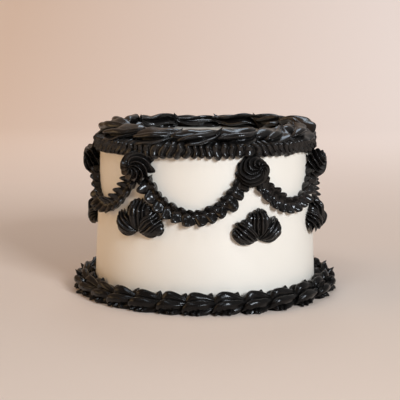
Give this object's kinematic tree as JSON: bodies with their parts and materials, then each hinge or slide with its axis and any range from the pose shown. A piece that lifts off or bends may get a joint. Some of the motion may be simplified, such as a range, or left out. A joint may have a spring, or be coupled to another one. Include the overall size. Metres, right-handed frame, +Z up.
{
  "type": "buttercream cake",
  "caption": "Tall round cake coated in smooth cream-coloured buttercream, with black piped shell borders, a ruffle, swags, rosettes and fleurs.",
  "frame": {"origin": "middle of the flat underside of the cake, on the surface that it stands on", "axes": "+Z up along the axis of the round cake; -Y towards the front, where a swag hangs between two rosettes; +X to the right of someone who faces the front"},
  "size_m": [0.1953, 0.1959, 0.1251],
  "materials": {
    "cream_coat": "smoothed ivory buttercream, satin, with faint marks of the palette knife",
    "black_piping": "near-black buttercream with a slightly warm tone, satin to glossy on the crests of the ridges"
  },
  "bodies": {
    "root": {"cake_body": "cream_coat", "top_ruffle": "black_piping", "top_shell_01": "black_piping", "top_shell_02": "black_piping", "top_shell_03": "black_piping", "top_shell_04": "black_piping", "top_shell_05": "black_piping", "top_shell_06": "black_piping", "top_shell_07": "black_piping", "top_shell_08": "black_piping", "top_shell_09": "black_piping", "top_shell_10": "black_piping", "top_shell_11": "black_piping", "top_shell_12": "black_piping", "top_shell_13": "black_piping", "base_shell_01": "black_piping", "base_shell_02": "black_piping", "base_shell_03": "black_piping", "base_shell_04": "black_piping", "base_shell_05": "black_piping", "base_shell_06": "black_piping", "base_shell_07": "black_piping", "base_shell_08": "black_piping", "base_shell_09": "black_piping", "base_shell_10": "black_piping", "base_shell_11": "black_piping", "base_shell_12": "black_piping", "base_shell_13": "black_piping", "base_shell_14": "black_piping", "base_shell_15": "black_piping", "base_shell_16": "black_piping", "base_shell_17": "black_piping", "base_shell_18": "black_piping", "base_shell_19": "black_piping", "base_shell_20": "black_piping", "base_shell_21": "black_piping", "base_shell_22": "black_piping", "base_shell_23": "black_piping", "base_shell_24": "black_piping", "base_shell_25": "black_piping", "base_shell_26": "black_piping", "rosette_01": "black_piping", "rosette_02": "black_piping", "rosette_03": "black_piping", "rosette_04": "black_piping", "rosette_05": "black_piping", "rosette_06": "black_piping", "swag_01": "black_piping", "swag_02": "black_piping", "swag_03": "black_piping", "swag_04": "black_piping", "swag_05": "black_piping", "swag_06": "black_piping", "fleur_01": "black_piping", "fleur_02": "black_piping", "fleur_03": "black_piping", "fleur_04": "black_piping", "fleur_05": "black_piping", "fleur_06": "black_piping"}
  },
  "joints": []
}
